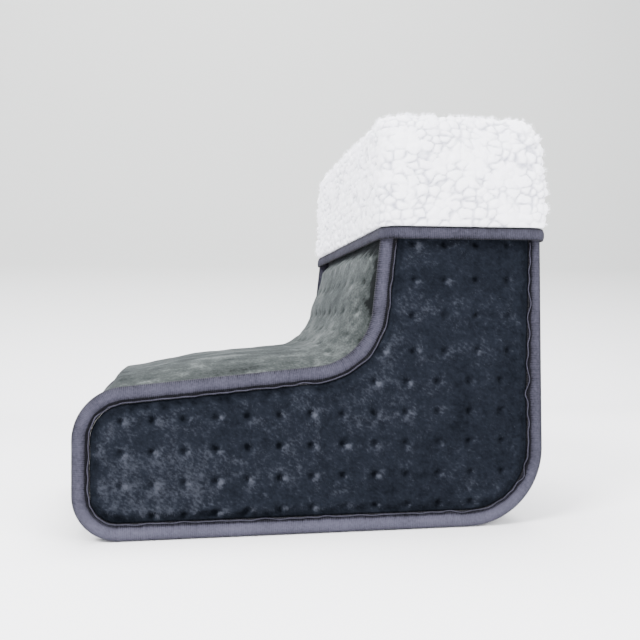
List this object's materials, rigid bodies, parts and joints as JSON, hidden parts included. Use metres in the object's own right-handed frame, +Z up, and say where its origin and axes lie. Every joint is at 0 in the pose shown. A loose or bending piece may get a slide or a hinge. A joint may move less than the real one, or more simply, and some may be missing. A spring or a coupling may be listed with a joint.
{
  "type": "electric foot warmer",
  "caption": "Padded two-foot heated boot with quilted plush sides, bound edges, a turned-down sherpa cuff, a back zip and a lead inlet.",
  "frame": {"origin": "on the floor, at the middle of the boot's length and width", "axes": "+X towards the heel, -X towards the toe, +Y towards the wearer's right, +Z up"},
  "size_m": [0.3418, 0.2842, 0.3],
  "materials": {
    "plush": "short-pile plush",
    "tape": "ribbed woven tape",
    "sherpa": "curly sherpa pile",
    "padding": "soft wadding",
    "grip_fabric": "woven fabric with grip dots",
    "felt": "needled felt",
    "wire": "silicone insulation",
    "moulding": "fine textured moulding",
    "nickel": "nickel plate"
  },
  "bodies": {
    "boot": {"back_foam": "padding", "back_lining": "sherpa", "back_panel": "plush", "binding_left": "tape", "binding_right": "tape", "cuff": "sherpa", "cuff_hem_tape": "tape", "footbed_lining": "sherpa", "heater_felt_lower": "felt", "heater_felt_upper": "felt", "heater_lead": "wire", "heating_wire": "wire", "inlet_clamp": "moulding", "inlet_housing": "moulding", "inlet_pin_1": "nickel", "inlet_pin_2": "nickel", "inlet_pin_3": "nickel", "instep_foam": "padding", "instep_lining": "sherpa", "instep_panel": "plush", "lead_splice": "moulding", "side_foam_left": "padding", "side_foam_right": "padding", "side_lining_left": "sherpa", "side_lining_right": "sherpa", "side_panel_left": "plush", "side_panel_right": "plush", "sole_foam": "padding", "sole_panel": "grip_fabric", "temperature_sensor": "moulding", "thermal_fuse": "nickel", "thermostat": "nickel", "zip_bottom_stop": "nickel", "zip_chain_lower": "moulding", "zip_chain_upper": "moulding", "zip_top_stop_lower": "nickel", "zip_top_stop_upper": "nickel"},
    "slider": {"zip_slider": "nickel"},
    "pull": {"zip_pull": "nickel"}
  },
  "joints": [
    {"name": "zip_slide", "type": "slide", "parent": "boot", "child": "slider", "axis": [0, -1, 0], "range_m": [0, 0.12], "deforming": ["zip_chain_upper", "zip_chain_lower"]},
    {"name": "pull_hinge", "type": "hinge", "parent": "slider", "child": "pull", "pos_m": [0.16445, 0.04235, 0.084], "axis": [0, 0, 1], "range_deg": [0, 150]}
  ]
}
